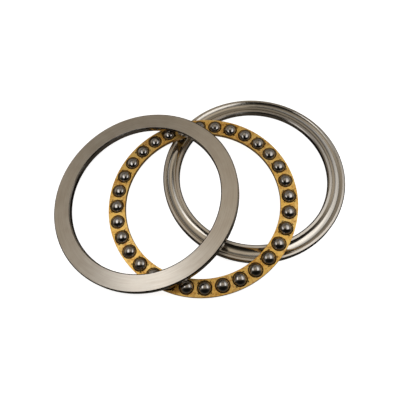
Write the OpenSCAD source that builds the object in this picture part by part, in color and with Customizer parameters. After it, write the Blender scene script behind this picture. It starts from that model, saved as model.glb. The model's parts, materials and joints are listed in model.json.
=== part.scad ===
// Single-direction thrust ball bearing, taken apart and laid out to show its pieces.
// The shaft washer lies flat with its groove up, the cage of balls leans on it,
// and the housing washer leans on the cage with its back up.
// Millimetres, +Z up. The origin is on the shaft washer's axis, at its back face.

/* [Bearing] */
// Bore of the shaft washer
bore_d = 220; // [218:0.5:221]
// Outside diameter of the housing washer
outer_d = 270; // [269.5:0.5:272]
// Height of the bearing when it is put together
assembled_h = 32; // [31.5:0.25:32.5]
// How far the shaft washer's rim and the housing washer's bore stand clear of their neighbours, on the radius
relief = 0.5; // [0.25:0.25:1]

/* [Washers] */
// Thickness of a washer
washer_t = 10; // [9.75:0.05:10.15]
// Chamfer on the corners of a washer
chamfer = 1.5; // [0.5:0.25:2]
// Radius of the ball groove, as a share of the ball's diameter
groove_share = 0.54; // [0.52:0.005:0.56]

/* [Balls] */
// Diameter of a ball
ball_d = 19.05; // [18.75:0.05:19.1]
// Number of balls, even because the pockets alternate
ball_n = 32; // [24:2:32]

/* [Cage] */
// Thickness of the cage
cage_t = 6; // [5.5:0.25:6.5]
// Clearance between the cage's rims and the bearing's bore and outside, on the radius
cage_relief = 0.3; // [0.2:0.1:0.8]
// Clearance between a ball and the spherical seat of its pocket
seat_gap = 0.325; // [0.3:0.005:0.35]
// Width of the bevel round a pocket's open mouth
mouth_bevel = 0.3; // [0.1:0.1:0.5]
// Length of a staking mark beside a pocket's open mouth
stake_l = 2.4; // [1.6:0.2:3]

/* [Layout] */
// Position of the cage's centre to the right of the origin
cage_x = -79.5; // [-80:0.5:-79]
// Position of the cage's centre beyond the origin
cage_y = -43; // [-43.5:0.5:-42.5]
// Tilt of the cage
cage_lean = 3.86; // [3.84:0.01:3.9]
// Direction in which the cage rises, anticlockwise from +X
cage_heading = 28.4; // [28.2:0.1:28.6]
// Angle of the first ball round the cage, anticlockwise from +X
first_ball = 9; // [0:0.25:22.5]
// Position of the housing washer's centre to the right of the origin
housing_x = -160; // [-160.5:0.5:-159.5]
// Position of the housing washer's centre beyond the origin
housing_y = -32.5; // [-33:0.5:-32]
// Tilt of the housing washer
housing_lean = 9; // [8.95:0.05:9.2]
// Direction in which the housing washer rises, anticlockwise from +X
housing_heading = 7; // [6.5:0.25:7.5]
// Gap left under the two leaning rings where they meet the floor
floor_gap = 0.1; // [0.05:0.05:0.3]

/* [Hidden] */
$fn = 128;
bore_r = bore_d / 2;
outer_r = outer_d / 2;
ball_r = ball_d / 2;
pitch_r = (bore_r + outer_r) / 2;
ball_step = 360 / ball_n;

groove_r = groove_share * ball_d;
groove_depth = ball_r - (assembled_h / 2 - washer_t);

cage_half = cage_t / 2;
cage_bevel = 0.4;
seat_r = ball_r + seat_gap;
// The mouth is a little narrower than the seat, so that the two meet in a clean edge
mouth_r = seat_r - 0.05;
stake_r = mouth_r + 1.1;
stake_w = 0.7;
stake_depth = 0.5;
stake_angles = [40, 140, 220, 320];

// A leaning ring touches the floor with its lowest ball or its lowest chamfered corner
cage_z = ball_r + pitch_r * sin(cage_lean) + floor_gap;
housing_z = (outer_r - chamfer) * sin(housing_lean) + floor_gap;

steel = "#8f8982";
ball_steel = "#4b4744";
brass = "#c9983c";

function ball_name(i) = str("ball_", i < 10 ? "0" : "", i);

// Stands its children on a plane that rises by lean degrees towards heading, without turning them
module leaning(x, y, z, lean, heading) {
    translate([x, y, z])
        rotate([0, 0, heading])
            rotate([0, -lean, 0])
                rotate([0, 0, -heading])
                    children();
}

module on_cage() {
    leaning(cage_x, cage_y, cage_z, cage_lean, cage_heading) children();
}

// Puts its children at the centre of ball i, with +X outwards along the cage's radius
module at_ball(i) {
    rotate([0, 0, first_ball + (i - 1) * ball_step])
        translate([pitch_r, 0, 0])
            children();
}

// A ring of rectangular section with its four corners bevelled, standing on z = 0
module bevelled_ring(inner_r, rim_r, height, bevel) {
    rotate_extrude()
        polygon([
            [inner_r + bevel, 0], [rim_r - bevel, 0],
            [rim_r, bevel], [rim_r, height - bevel],
            [rim_r - bevel, height], [inner_r + bevel, height],
            [inner_r, height - bevel], [inner_r, bevel]
        ]);
}

// A washer lying on its back, with the ball groove in its upper face
module grooved_washer(inner_r, rim_r) {
    difference() {
        bevelled_ring(inner_r, rim_r, washer_t, chamfer);
        rotate_extrude()
            translate([pitch_r, washer_t - groove_depth + groove_r])
                circle(r = groove_r);
    }
}

// The hole for one ball: a straight mouth from the upper face, and a spherical seat
// that closes in below the ball's middle and leaves a lip at the lower face
module pocket() {
    sphere(r = seat_r);
    cylinder(r = mouth_r, h = cage_half + 1);
    translate([0, 0, cage_half - mouth_bevel])
        cylinder(r1 = mouth_r, r2 = mouth_r + 2 * mouth_bevel, h = 2 * mouth_bevel);
}

// The punch marks beside a pocket's mouth, which close it over the ball
module stakes() {
    for (a = stake_angles)
        rotate([0, 0, a])
            translate([stake_r, 0, cage_half])
                cube([stake_w, stake_l, 2 * stake_depth], center = true);
}

// Pockets open upwards and downwards by turns
module pockets() {
    for (i = [1 : ball_n])
        at_ball(i)
            rotate([i % 2 == 0 ? 0 : 180, 0, 0]) {
                pocket();
                rotate([0, 0, 90]) stakes();
            }
}

module shaft_washer() {
    color(steel) grooved_washer(bore_r, outer_r - relief);
}

module housing_washer() {
    color(steel)
        leaning(housing_x, housing_y, housing_z, housing_lean, housing_heading)
            translate([0, 0, washer_t])
                rotate([180, 0, 0])
                    grooved_washer(bore_r + relief, outer_r);
}

module cage() {
    color(brass)
        on_cage()
            difference() {
                translate([0, 0, -cage_half])
                    bevelled_ring(bore_r + cage_relief, outer_r - cage_relief, cage_t, cage_bevel);
                pockets();
            }
}

module ball(i) {
    color(ball_steel) on_cage() at_ball(i) sphere(r = ball_r);
}

shaft_washer();
housing_washer();
cage();
for (i = [1 : ball_n])
    ball(i);
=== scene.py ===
import json
import math

import bmesh
import bpy
from mathutils import Matrix, Vector


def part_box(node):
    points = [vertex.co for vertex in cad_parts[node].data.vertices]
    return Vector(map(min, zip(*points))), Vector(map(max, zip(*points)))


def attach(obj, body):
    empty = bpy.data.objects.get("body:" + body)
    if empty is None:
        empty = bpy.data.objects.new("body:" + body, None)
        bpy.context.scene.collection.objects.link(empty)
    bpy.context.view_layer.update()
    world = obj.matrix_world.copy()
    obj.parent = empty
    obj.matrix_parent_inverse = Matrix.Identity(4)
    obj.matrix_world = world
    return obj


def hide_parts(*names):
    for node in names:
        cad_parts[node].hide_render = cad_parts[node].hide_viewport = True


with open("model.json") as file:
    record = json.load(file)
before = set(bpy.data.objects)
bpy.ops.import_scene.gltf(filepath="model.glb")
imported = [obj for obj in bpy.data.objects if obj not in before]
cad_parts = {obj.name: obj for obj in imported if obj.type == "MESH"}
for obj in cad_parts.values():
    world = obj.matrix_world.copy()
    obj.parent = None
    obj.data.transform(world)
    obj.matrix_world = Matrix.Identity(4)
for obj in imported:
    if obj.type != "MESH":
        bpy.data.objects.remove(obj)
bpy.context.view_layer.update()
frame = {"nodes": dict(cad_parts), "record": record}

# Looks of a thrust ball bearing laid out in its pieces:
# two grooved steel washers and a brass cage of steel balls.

MM = 0.001
UP = Vector((0, 0, 1))

# ---- sizes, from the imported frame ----
MOUNTS = {m["name"]: m for m in frame["record"]["mounts"]}
JOINTS = {j["name"]: j for j in frame["record"]["behaviour"]["joints"]}
BALLS = sorted(n for n in frame["nodes"] if n.startswith("ball_"))
BORE_R = MOUNTS["shaft_bore"]["dims"]["r_mm"] * MM
RIM_R = MOUNTS["housing_rim"]["dims"]["r_mm"] * MM
PITCH_R = (BORE_R + RIM_R) / 2
WASHER_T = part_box("shaft_washer")[1][2]
BALL_R = (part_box(BALLS[0])[1][2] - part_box(BALLS[0])[0][2]) / 2

# ---- sizes that the frame doesn't state ----
RELIEF = 0.5 * MM         # the shaft washer's rim and the housing washer's bore stand back by this
CHAMFER = 1.5 * MM
EDGE_R = 0.18 * MM        # rounding of the washers' edges
GROOVE_R = BALL_R * 1.08
GROOVE_DEPTH = BALL_R * 0.37
GROOVE_EDGE_R = 0.25 * MM
CAGE_T = 6 * MM
FIRST_POCKET = math.radians(9)
CAGE_RELIEF = 0.3 * MM
CAGE_EDGE_R = 0.35 * MM
SEAT_R = BALL_R + 0.325 * MM
MOUTH_R = BALL_R + 0.275 * MM
MOUTH_BEVEL = 0.35 * MM
LIP_BREAK = 0.15 * MM     # the broken edge of a pocket's narrow end
CUT_PAST = 0.6 * MM       # how far a pocket's cutter reaches past the cage's faces
SHARP_ANGLE = math.radians(28)
STAKE_AT = 11.15 * MM     # from a ball's centre to the middle of a punch mark
STAKE_HALF = Vector((0.65, 1.7, 1.0)) * MM
STAKE_ANGLES = (50, 130, 230, 310)
SUPPORT = 0.12 * MM       # how far a flat's last edge loop stands from its rounding

# ---- steps of the round shapes ----
RING_STEPS = 512
GROOVE_STEPS = 26
POCKET_STEPS = 96
STAKE_STEPS = 16
SEAT_STEPS = 7


# ---- mesh helpers ----
def rounded(corners, steps=4):
    """Rounds each (r, z, radius, zone) corner of a closed outline, and returns (r, z, zone) points."""
    points = []
    count = len(corners)
    for i, (r, z, radius, zone) in enumerate(corners):
        here = Vector((r, z))
        if radius == 0:
            points.append((r, z, zone))
            continue
        back = (Vector(corners[i - 1][:2]) - here).normalized()
        ahead = (Vector(corners[(i + 1) % count][:2]) - here).normalized()
        half = back.angle(ahead) / 2
        reach = radius / math.tan(half)
        centre = here + (back + ahead).normalized() * (radius / math.sin(half))
        start, end = here + back * reach, here + ahead * reach
        a, b = start - centre, end - centre
        turn = math.atan2(a.x * b.y - a.y * b.x, a.dot(b))
        first = start + back * SUPPORT
        points.append((first.x, first.y, corners[i - 1][3]))
        for k in range(steps + 1):
            t = turn * k / steps
            along = a.x * math.cos(t) - a.y * math.sin(t)
            up = a.x * math.sin(t) + a.y * math.cos(t)
            p = centre + Vector((along, up))
            points.append((p.x, p.y, zone))
        last = end + ahead * SUPPORT
        points.append((last.x, last.y, zone))
    return points


def lathe(name, outline, steps, materials):
    """Turns a closed (r, z, zone) outline about Z. A point's zone is the material of the strip after it."""
    mesh = bpy.data.meshes.new(name)
    count = len(outline)
    verts = []
    for s in range(steps):
        a = 2 * math.pi * s / steps
        verts += [(r * math.cos(a), r * math.sin(a), z) for r, z, _ in outline]
    faces = []
    zones = []
    for s in range(steps):
        n = (s + 1) % steps
        for k in range(count):
            m = (k + 1) % count
            faces.append((s * count + k, n * count + k, n * count + m, s * count + m))
            zones.append(outline[k][2])
    mesh.from_pydata(verts, [], faces)
    mesh.polygons.foreach_set("material_index", zones)
    mesh.polygons.foreach_set("use_smooth", [True] * len(faces))
    for m in materials:
        mesh.materials.append(m)
    mesh.update()
    return mesh


def add(name, mesh, matrix):
    """A new object from a mesh, placed in the row frame."""
    obj = bpy.data.objects.new(name, mesh)
    bpy.context.scene.collection.objects.link(obj)
    obj.matrix_world = matrix
    return obj


def outward(mesh):
    """Turns every face of a closed mesh to face out."""
    bm = bmesh.new()
    bm.from_mesh(mesh)
    bmesh.ops.recalc_face_normals(bm, faces=bm.faces)
    bm.to_mesh(mesh)
    bm.free()
    return mesh


def applied(obj):
    """The object's mesh with its modifiers applied, which replaces its own mesh."""
    bpy.context.view_layer.update()
    evaluated = obj.evaluated_get(bpy.context.evaluated_depsgraph_get())
    mesh = bpy.data.meshes.new_from_object(evaluated)
    obj.modifiers.clear()
    old = obj.data
    obj.data = mesh
    bpy.data.meshes.remove(old)
    return mesh


def on_axis(joint):
    """The matrix that puts Z on a joint's axis and the origin at its position."""
    turn = UP.rotation_difference(Vector(JOINTS[joint]["axis"]))
    return Matrix.Translation(JOINTS[joint]["pos_m"]) @ turn.to_matrix().to_4x4()


# ---- material helpers ----
class Nodes:
    """A node tree whose nodes are made by short calls."""

    def __init__(self, tree):
        self.tree = tree

    def make(self, kind, inputs=(), **settings):
        node = self.tree.nodes.new(kind)
        for key, value in settings.items():
            setattr(node, key, value)
        for key, value in dict(inputs).items():
            self.put(node.inputs[key], value)
        return node

    def put(self, socket, value):
        if isinstance(value, bpy.types.NodeSocket):
            self.tree.links.new(value, socket)
        else:
            socket.default_value = value

    def math(self, operation, *values):
        node = self.tree.nodes.new("ShaderNodeMath")
        node.operation = operation
        for socket, value in zip(node.inputs, values):
            self.put(socket, value)
        return node.outputs[0]

    def place(self):
        return self.make("ShaderNodeTexCoord").outputs["Object"]

    def stretched(self, vector, factors):
        return self.make("ShaderNodeVectorMath", {0: vector, 1: factors}, operation="MULTIPLY").outputs[0]

    def upright(self, height):
        """A vector along Z."""
        return self.make("ShaderNodeCombineXYZ", {2: height}).outputs[0]

    def polar(self):
        """(radius in mm, unit direction from the axis) of the point being shaded."""
        flat = self.stretched(self.place(), (1, 1, 0))
        length = self.make("ShaderNodeVectorMath", {0: flat}, operation="LENGTH").outputs["Value"]
        unit = self.make("ShaderNodeVectorMath", {0: flat}, operation="NORMALIZE").outputs[0]
        return self.math("MULTIPLY", length, 1000), unit

    def turned(self, around, across, detail=3.0, seed=0.0):
        """Noise in rings about Z: it changes around times in a radian, and across times in a mm of radius."""
        radius, unit = self.polar()
        wide = self.make("ShaderNodeVectorMath", {0: unit, "Scale": around}, operation="SCALE").outputs[0]
        deep = self.upright(self.math("MULTIPLY_ADD", radius, across, seed))
        where = self.make("ShaderNodeVectorMath", {0: wide, 1: deep}, operation="ADD").outputs[0]
        return self.noise(where, 1.0, detail)

    def noise(self, where, scale, detail=3.0, roughness=0.55):
        inputs = {"Vector": where, "Scale": scale, "Detail": detail, "Roughness": roughness}
        return self.make("ShaderNodeTexNoise", inputs).outputs[0]

    def span(self, value, low, high, to_low, to_high):
        inputs = {0: value, 1: low, 2: high, 3: to_low, 4: to_high}
        return self.make("ShaderNodeMapRange", inputs, interpolation_type="SMOOTHSTEP").outputs[0]

    def mix(self, share, first, second):
        """A mix of two colours."""
        return self.make("ShaderNodeMix", data_type="RGBA", inputs={0: share, 6: first, 7: second}).outputs[2]

    def bump(self, height, distance, strength=1.0, over=None):
        inputs = {"Height": height, "Distance": distance, "Strength": strength}
        if over is not None:
            inputs["Normal"] = over
        return self.make("ShaderNodeBump", inputs).outputs[0]


class Surface(Nodes):
    """A material and its nodes."""

    def __init__(self, name):
        self.material = bpy.data.materials.new(name)
        self.material.use_nodes = True
        super().__init__(self.material.node_tree)
        self.shader = self.tree.nodes["Principled BSDF"]

    def stained(self, amount, first, second):
        """A colour from first to second, as a noise goes from 0.35 to 0.65."""
        return self.mix(self.span(amount, 0.35, 0.65, 0.0, 1.0), first, second)

    def finish(self, **inputs):
        for key, value in inputs.items():
            self.put(self.shader.inputs[key.replace("_", " ")], value)
        return self.material


def ground_steel():
    """Flat faces ground with fine rings, with faint blotches of oil."""
    n = Surface("ground_steel")
    fine = n.turned(5.0, 9.0, 4.0)
    broad = n.turned(3.0, 0.8, 3.0, 40.0)
    blotch = n.noise(n.place(), 60.0, 4.0)
    shade = n.math("ADD", n.math("MULTIPLY", broad, 0.6), n.math("MULTIPLY", blotch, 0.4))
    colour = n.stained(shade, (0.53, 0.475, 0.41, 1), (0.62, 0.575, 0.51, 1))
    rough = n.math("ADD", n.span(fine, 0.3, 0.7, 0.33, 0.43), n.span(blotch, 0.3, 0.7, -0.02, 0.03))
    return n.finish(
        Base_Color=colour,
        Metallic=1.0,
        Roughness=rough,
        Normal=n.bump(fine, 0.004 * MM, 0.6),
    )


def race_steel():
    """The lapped groove: bright, with streaks that run round with the balls and faint ripples across."""
    n = Surface("race_steel")
    streak = n.turned(2.5, 3.0, 4.0, 7.0)
    fine = n.turned(6.0, 14.0, 3.0, 90.0)
    chatter = n.turned(55.0, 0.35, 1.0, 20.0)
    colour = n.stained(streak, (0.47, 0.425, 0.365, 1), (0.64, 0.60, 0.54, 1))
    rough = n.math("ADD", n.span(streak, 0.3, 0.7, 0.10, 0.19), n.span(chatter, 0.4, 0.6, -0.03, 0.03))
    ripples = n.bump(chatter, 0.02 * MM, 0.6)
    return n.finish(
        Base_Color=colour,
        Metallic=1.0,
        Roughness=rough,
        Normal=n.bump(fine, 0.003 * MM, 0.6, ripples),
    )


def turned_steel_painted_shade():
    """Chamfers, rims and bores: turned and hardened, with a colour darker than the ground faces that is
    painted shade, for faces that see the dark side of the room.
    """
    n = Surface("turned_steel_painted_shade")
    place = n.place()
    height = n.make("ShaderNodeSeparateXYZ", {0: place}).outputs[2]
    lines = n.noise(n.upright(n.math("MULTIPLY", height, 6000.0)), 1.0, 2.0)
    stain = n.noise(place, 45.0, 5.0)
    # painted shade: the dark base colour stands in for the shade on chamfers, rims and bores, with stains at
    # random
    colour = n.mix(n.span(stain, 0.35, 0.7, 0.0, 1.0), (0.24, 0.215, 0.19, 1), (0.36, 0.33, 0.30, 1))
    return n.finish(
        Base_Color=colour,
        Metallic=1.0,
        Roughness=n.span(stain, 0.3, 0.7, 0.14, 0.22),
        Normal=n.bump(lines, 0.006 * MM, 0.6),
    )


def from_pocket(n):
    """Distance in mm from the middle of the nearest pocket, on the cage's faces."""
    flat = n.make("ShaderNodeSeparateXYZ", {0: n.place()}).outputs
    step = 2 * math.pi / len(BALLS)
    around = n.math("ARCTAN2", flat[1], flat[0])
    past_gap = n.math("FLOORED_MODULO", n.math("SUBTRACT", around, FIRST_POCKET - step / 2), step)
    off = n.math("SUBTRACT", past_gap, step / 2)
    radius, _ = n.polar()
    ahead = n.math("SUBTRACT", n.math("MULTIPLY", radius, n.math("COSINE", off)), PITCH_R / MM)
    aside = n.math("MULTIPLY", radius, n.math("SINE", off))
    return n.math("SQRT", n.math("ADD", n.math("MULTIPLY", ahead, ahead), n.math("MULTIPLY", aside, aside)))


def cage_brass():
    """Machined brass: turned rings, tarnish in soft orange-brown patches, and a near-black ring of painted
    shade round the pockets.
    """
    n = Surface("cage_brass")
    rings = n.turned(4.0, 6.0, 3.0, 3.0)
    patch = n.noise(n.place(), 130.0, 5.0, 0.6)
    broad = n.noise(n.place(), 28.0, 3.0)
    speck = n.noise(n.place(), 420.0, 3.0)
    gold, ochre, brown = (0.99, 0.68, 0.225, 1), (0.96, 0.585, 0.13, 1), (0.58, 0.255, 0.045, 1)
    base = n.stained(broad, gold, ochre)
    worn = n.math("ADD", n.math("MULTIPLY", patch, 0.5), n.math("MULTIPLY", speck, 0.5))
    tarnished = n.mix(n.span(worn, 0.46, 0.61, 0.0, 0.78), base, brown)
    edge = n.math("SUBTRACT", from_pocket(n), n.math("MULTIPLY", speck, 0.8))
    # painted shade: a near-black ring on the faces round each pocket, for the shade in the gap about the ball
    colour = n.mix(n.span(edge, 9.6, 10.1, 1.0, 0.0), tarnished, (0.05, 0.022, 0.008, 1))
    rough = n.math("ADD", n.span(patch, 0.3, 0.7, 0.46, 0.58), n.span(rings, 0.3, 0.7, -0.04, 0.04))
    height = n.math("ADD", n.math("MULTIPLY", rings, 0.5), n.math("ADD", patch, speck))
    return n.finish(
        Base_Color=colour,
        Metallic=0.7,
        Roughness=rough,
        Normal=n.bump(height, 0.03 * MM, 0.7),
    )


def edge_brass_painted_shade():
    """The cage's rims and broken edges, coloured browner than its faces as painted shade on the walls, with
    stains at random.
    """
    n = Surface("edge_brass_painted_shade")
    stain = n.noise(n.place(), 90.0, 4.0)
    # painted shade: the brown colour darkens the cage's walls for the shade that falls on them
    return n.finish(
        Base_Color=n.stained(stain, (0.42, 0.23, 0.07, 1), (0.62, 0.38, 0.12, 1)),
        Metallic=0.9,
        Roughness=n.span(stain, 0.3, 0.7, 0.36, 0.48),
        Normal=n.bump(stain, 0.02 * MM, 0.6),
    )


def pocket_brass_painted_shade():
    """The bored pockets and punch marks, coloured near-black as painted shade in these hollows."""
    n = Surface("pocket_brass_painted_shade")
    stain = n.noise(n.place(), 200.0, 4.0)
    # painted shade: near-black colour for the shade inside the pockets and punch marks
    return n.finish(
        Base_Color=n.stained(stain, (0.045, 0.021, 0.009, 1), (0.11, 0.052, 0.018, 1)),
        Metallic=0.8,
        Roughness=n.span(stain, 0.3, 0.7, 0.34, 0.46),
        Normal=n.bump(stain, 0.02 * MM, 0.6),
    )


def ball_steel():
    """Polished balls under a thin film of oil, with faint scratches from rolling."""
    n = Surface("ball_steel")
    place = n.place()
    cloud = n.noise(place, 160.0, 3.0)
    scratch = n.noise(n.stretched(place, (150, 150, 5000)), 1.0, 3.0, 0.7)
    colour = n.mix(n.span(cloud, 0.3, 0.7, 0.0, 1.0), (0.35, 0.325, 0.30, 1), (0.42, 0.395, 0.37, 1))
    rough = n.math("ADD", n.span(cloud, 0.3, 0.7, 0.06, 0.11), n.span(scratch, 0.55, 0.75, 0.0, 0.05))
    return n.finish(
        Base_Color=colour,
        Metallic=1.0,
        Roughness=rough,
        Normal=n.bump(scratch, 0.001 * MM, 0.5),
    )


# ---- camera ----
CAMERA_AT = (-0.0819, -0.2787, 0.5551)
CAMERA_ELEVATION = 66.018
CAMERA_ROLL = -4.21
CAMERA_LENS = 37.02


def make_camera():
    data = bpy.data.cameras.new("camera")
    data.lens = CAMERA_LENS
    data.sensor_width = 36.0
    data.clip_start = 0.01
    camera = add("camera", data, Matrix.Translation(CAMERA_AT)
                 @ Matrix.Rotation(math.radians(90 - CAMERA_ELEVATION), 4, "X")
                 @ Matrix.Rotation(math.radians(CAMERA_ROLL), 4, "Z"))
    bpy.context.scene.camera = camera


# ---- room ----
FLOOR_HALF = 12.0
FLOOR_GLOW = 0.90
# inner and outer are edges in X; front, end of the bright part and back are places in Y;
# tail is the share of the radiance that goes on past the bright part
LAMPS = {
    "softbox_left": {
        "inner": -0.170, "outer": -0.360, "front": -0.205, "end": 0.0, "back": 0.185,
        "height": 0.240, "radiance": 2.05, "tail": 0.5,
    },
    "softbox_right": {
        "inner": 0.040, "outer": 0.360, "front": -0.235, "end": 0.0, "back": 0.290,
        "height": 0.258, "radiance": 1.75, "tail": 0.62,
    },
}


def make_floor():
    mesh = bpy.data.meshes.new("floor")
    h = FLOOR_HALF
    mesh.from_pydata([(-h, -h, 0), (h, -h, 0), (h, h, 0), (-h, h, 0)], [], [(0, 1, 2, 3)])
    n = Surface("pale_floor")
    grain = n.noise(n.place(), 90.0, 2.0)
    n.finish(
        Base_Color=n.mix(grain, (0.78, 0.78, 0.78, 1), (0.82, 0.82, 0.82, 1)),
        Roughness=0.9,
        Emission_Color=(1, 1, 1, 1),
        Emission_Strength=FLOOR_GLOW,
    )
    mesh.materials.append(n.material)
    floor = add("floor", mesh, Matrix.Identity(4))
    floor.visible_glossy = False


def softbox_glow(name, lamp):
    """Glow of a panel that is crisp at its front and inner edges, and fades to its back and outer edges."""
    inner, front, end, tail = lamp["inner"], lamp["front"], lamp["end"], lamp["tail"]
    n = Surface(name + "_glow")
    across, along, _ = n.make("ShaderNodeSeparateXYZ", {0: n.place()}).outputs
    width = lamp["outer"] - inner
    share = n.math("DIVIDE", n.math("SUBTRACT", across, inner), width)
    core = n.span(along, end - 0.05, end + 0.03, 1 - tail, 0.0)
    rest = n.span(along, end + 0.03, lamp["back"], tail, 0.0)
    level = n.math("MULTIPLY", n.math("ADD", core, rest), lamp["radiance"])
    level = n.math("MULTIPLY", level, n.span(share, 0.0, 0.12, 0.0, 1.0))
    level = n.math("MULTIPLY", level, n.span(share, 0.68, 1.0, 1.0, 0.0))
    level = n.math("MULTIPLY", level, n.span(along, front, front + 0.04, 0.0, 1.0))
    return n.finish(
        Base_Color=(0, 0, 0, 1),
        Roughness=1.0,
        Emission_Color=(1, 1, 1, 1),
        Emission_Strength=level,
    )


def make_lamps():
    """Panels over the bearing, left and right of the camera's line of sight, in the row frame."""
    for name, lamp in LAMPS.items():
        mesh = bpy.data.meshes.new(name)
        low, high = sorted((lamp["inner"], lamp["outer"]))
        front, back, z = lamp["front"], lamp["back"], lamp["height"]
        corners = [(low, front, z), (low, back, z), (high, back, z), (high, front, z)]
        mesh.from_pydata(corners, [], [(0, 1, 2, 3)])
        mesh.materials.append(softbox_glow(name, lamp))
        panel = add(name, mesh, Matrix.Identity(4))
        panel.visible_camera = False
        panel.visible_shadow = False


def make_world():
    """A warm grey room, dark on the camera's side, and white where the camera looks past the floor."""
    world = bpy.data.worlds.new("room")
    bpy.context.scene.world = world
    world.use_nodes = True
    n = Nodes(world.node_tree)
    n.tree.nodes.clear()
    where = n.make("ShaderNodeTexCoord").outputs["Generated"]
    x, y, z = n.make("ShaderNodeSeparateXYZ", {0: where}).outputs

    # above the horizon: dark on the camera's side, brighter to either side and overhead
    back = n.span(y, -0.5, 0.25, 0.045, 1.0)
    sides = n.math("MULTIPLY_ADD", n.math("MULTIPLY", x, x), 0.35, 0.27)
    overhead = n.span(z, 0.76, 0.92, 0.0, 0.41)
    upper = n.math("MULTIPLY", back, n.math("ADD", sides, overhead))
    table = n.span(y, -0.4, 0.1, 0.12, 0.02)
    above = n.span(z, -0.1, 0.15, 0.0, 1.0)
    level = n.make("ShaderNodeMix", {0: above, 2: table, 3: upper}, data_type="FLOAT").outputs[0]

    room = n.make("ShaderNodeBackground", {0: (1.0, 0.895, 0.745, 1), 1: level}).outputs[0]
    white = n.make("ShaderNodeBackground", {0: (1, 1, 1, 1), 1: 1.0}).outputs[0]
    seen = n.make("ShaderNodeLightPath").outputs["Is Camera Ray"]
    both = n.make("ShaderNodeMixShader", {0: seen, 1: room, 2: white}).outputs[0]
    n.make("ShaderNodeOutputWorld", {0: both})


# ---- pieces ----
GROUND, RACE, TURNED = 0, 1, 2    # the washers' zones, as slots of their materials
FACE, EDGE, POCKET = 0, 1, 2      # the cage's


def washer_outline(inner, outer):
    """Half section of a washer with its groove up, anticlockwise from the inner edge of its back."""
    t, c, e = WASHER_T, CHAMFER, EDGE_R
    rise = GROOVE_R - GROOVE_DEPTH
    half = math.acos(rise / GROOVE_R)
    width = GROOVE_R * math.sin(half)
    corners = [
        (inner + c, 0, e, GROUND),
        (outer - c, 0, e, TURNED),
        (outer, c, e, TURNED),
        (outer, t - c, e, TURNED),
        (outer - c, t, e, GROUND),
        (PITCH_R + width, t, GROOVE_EDGE_R, RACE),
    ]
    for k in range(1, GROOVE_STEPS):
        a = half - 2 * half * k / GROOVE_STEPS
        corners.append((PITCH_R + GROOVE_R * math.sin(a), t + rise - GROOVE_R * math.cos(a), 0, RACE))
    corners += [
        (PITCH_R - width, t, GROOVE_EDGE_R, GROUND),
        (inner + c, t, e, TURNED),
        (inner, t - c, e, TURNED),
        (inner, c, e, TURNED),
    ]
    return rounded(corners)


def make_washer(name, inner, outer, matrix, materials):
    mesh = outward(lathe(name + "_mesh", washer_outline(inner, outer), RING_STEPS, materials))
    washer = add(name + "_detailed", mesh, matrix)
    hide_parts(name)
    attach(washer, name)


def pocket_outline():
    """Half section of a pocket's cutter, open upwards: a spherical seat, a straight mouth and a bevel."""
    bottom, top = -CAGE_T / 2, CAGE_T / 2
    join = math.sqrt(SEAT_R ** 2 - MOUTH_R ** 2)
    lip = math.sqrt(SEAT_R ** 2 - bottom ** 2)
    points = [
        (0, bottom - CUT_PAST),
        (lip + LIP_BREAK, bottom - CUT_PAST),
        (lip + LIP_BREAK, bottom),
        (lip, bottom + LIP_BREAK),
    ]
    for k in range(1, SEAT_STEPS + 1):
        z = bottom + LIP_BREAK + (-join - bottom - LIP_BREAK) * k / SEAT_STEPS
        points.append((math.sqrt(SEAT_R ** 2 - z * z), z))
    points += [
        (MOUTH_R, top - MOUTH_BEVEL),
        (MOUTH_R + MOUTH_BEVEL * 0.35, top - MOUTH_BEVEL * 0.35),
        (MOUTH_R + MOUTH_BEVEL, top),
        (MOUTH_R + MOUTH_BEVEL, top + CUT_PAST),
        (0, top + CUT_PAST),
    ]
    return points


def spun(bm, outline, steps, matrix, material):
    """Adds an outline that starts and ends on Z, turned about Z, to a bmesh."""
    turns = [2 * math.pi * s / steps for s in range(steps)]
    rings = []
    for r, z in outline:
        if r == 0:
            places = [Vector((0, 0, z))]
        else:
            places = [Vector((r * math.cos(a), r * math.sin(a), z)) for a in turns]
        rings.append([bm.verts.new(matrix @ p) for p in places])
    for low, high in zip(rings, rings[1:]):
        for s in range(steps):
            n = (s + 1) % steps
            if len(low) == 1:
                corners = (low[0], high[s], high[n])
            elif len(high) == 1:
                corners = (low[s], high[0], low[n])
            else:
                corners = (low[s], high[s], high[n], low[n])
            bm.faces.new(corners).material_index = material


def stake_outline(steps=6):
    """Half section of a unit ball, for the punch marks."""
    turns = [math.pi * k / (2 * steps) for k in range(2 * steps + 1)]
    inner = [(math.sin(a), -math.cos(a)) for a in turns[1:-1]]
    return [(0, -1.0)] + inner + [(0, 1.0)]


def make_cutter(cage_matrix):
    """All pockets and punch marks as one mesh, in the cage's own frame."""
    bm = bmesh.new()
    to_cage = cage_matrix.inverted()
    for i, name in enumerate(BALLS):
        centre = to_cage @ Vector(JOINTS[name + "_spin"]["pos_m"])
        angle = math.atan2(centre.y, centre.x)
        pocket = Matrix.Translation(centre) @ Matrix.Rotation(angle, 4, "Z")
        if i % 2 == 0:
            pocket = pocket @ Matrix.Rotation(math.pi, 4, "X")
        spun(bm, pocket_outline(), POCKET_STEPS, pocket, POCKET)
        for degrees in STAKE_ANGLES:
            mark = (
                pocket
                @ Matrix.Rotation(math.radians(degrees), 4, "Z")
                @ Matrix.Translation((STAKE_AT, 0, CAGE_T / 2))
                @ Matrix.Diagonal((*STAKE_HALF, 1))
            )
            spun(bm, stake_outline(), STAKE_STEPS, mark, POCKET)
    mesh = bpy.data.meshes.new("cutter")
    bmesh.ops.recalc_face_normals(bm, faces=bm.faces)
    bm.to_mesh(mesh)
    bm.free()
    return mesh


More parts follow.
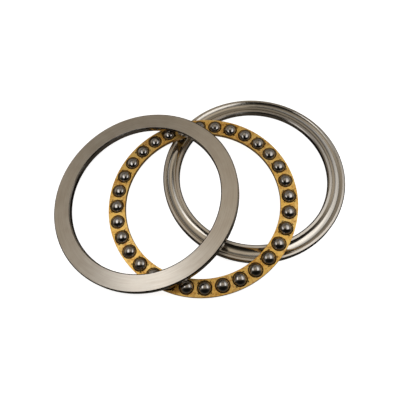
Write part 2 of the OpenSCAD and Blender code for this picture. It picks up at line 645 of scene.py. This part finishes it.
def make_cage(materials):
    inner, outer, h = BORE_R + CAGE_RELIEF, RIM_R - CAGE_RELIEF, CAGE_T / 2
    corners = [
        (inner, -h, CAGE_EDGE_R, FACE),
        (outer, -h, CAGE_EDGE_R, EDGE),
        (outer, h, CAGE_EDGE_R, FACE),
        (inner, h, CAGE_EDGE_R, EDGE),
    ]
    matrix = on_axis("cage_spin")
    mesh = outward(lathe("cage_mesh", rounded(corners), RING_STEPS, materials))
    cage = add("cage_detailed", mesh, matrix)
    cutter_mesh = make_cutter(matrix)
    for m in materials:
        cutter_mesh.materials.append(m)
    cutter = add("cutter", cutter_mesh, matrix)
    cut = cage.modifiers.new("pockets", "BOOLEAN")
    cut.operation = "DIFFERENCE"
    cut.solver = "EXACT"
    cut.object = cutter
    applied(cage)
    bpy.data.objects.remove(cutter)
    cage.data.polygons.foreach_set("use_smooth", [True] * len(cage.data.polygons))
    cage.data.set_sharp_from_angle(angle=SHARP_ANGLE)
    weighted = cage.modifiers.new("flat_faces", "WEIGHTED_NORMAL")
    weighted.keep_sharp = True
    weighted.weight = 100
    applied(cage)
    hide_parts("cage")
    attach(cage, "cage")


def ball_mesh(material, steps=24):
    """A ball from a cube's grid pushed out to the sphere, so that no point is pinched."""
    bm = bmesh.new()
    bmesh.ops.create_cube(bm, size=2.0)
    bmesh.ops.subdivide_edges(bm, edges=bm.edges, cuts=steps - 1, use_grid_fill=True)
    for v in bm.verts:
        v.co = Vector(math.tan(c * math.pi / 4) for c in v.co).normalized() * BALL_R
    for f in bm.faces:
        f.smooth = True
    mesh = bpy.data.meshes.new("ball_mesh")
    bm.to_mesh(mesh)
    bm.free()
    mesh.materials.append(material)
    return mesh


def make_balls(material):
    mesh = ball_mesh(material)
    for i, name in enumerate(BALLS):
        joint = JOINTS[name + "_spin"]
        # each ball lies at its own angle, so that no two show the same scratches
        turn = Matrix.Rotation(2.4 * i, 4, "Z") @ Matrix.Rotation(1.7 * i + 0.6, 4, "X")
        ball = add(name + "_polished", mesh, Matrix.Translation(joint["pos_m"]) @ turn)
        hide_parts(name)
        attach(ball, name)


def main():
    scene = bpy.context.scene
    scene.view_settings.view_transform = "Standard"
    make_camera()
    make_floor()
    make_lamps()
    make_world()
    steels = (ground_steel(), race_steel(), turned_steel_painted_shade())
    make_washer("shaft_washer", BORE_R, RIM_R - RELIEF, Matrix.Identity(4), steels)
    # the housing washer lies groove down, with its groove's face at its joint
    raised = on_axis("housing_washer_spin") @ Matrix.Translation((0, 0, WASHER_T))
    flipped = raised @ Matrix.Rotation(math.pi, 4, "X")
    make_washer("housing_washer", BORE_R + RELIEF, RIM_R, flipped, steels)
    make_cage((cage_brass(), edge_brass_painted_shade(), pocket_brass_painted_shade()))
    make_balls(ball_steel())


main()
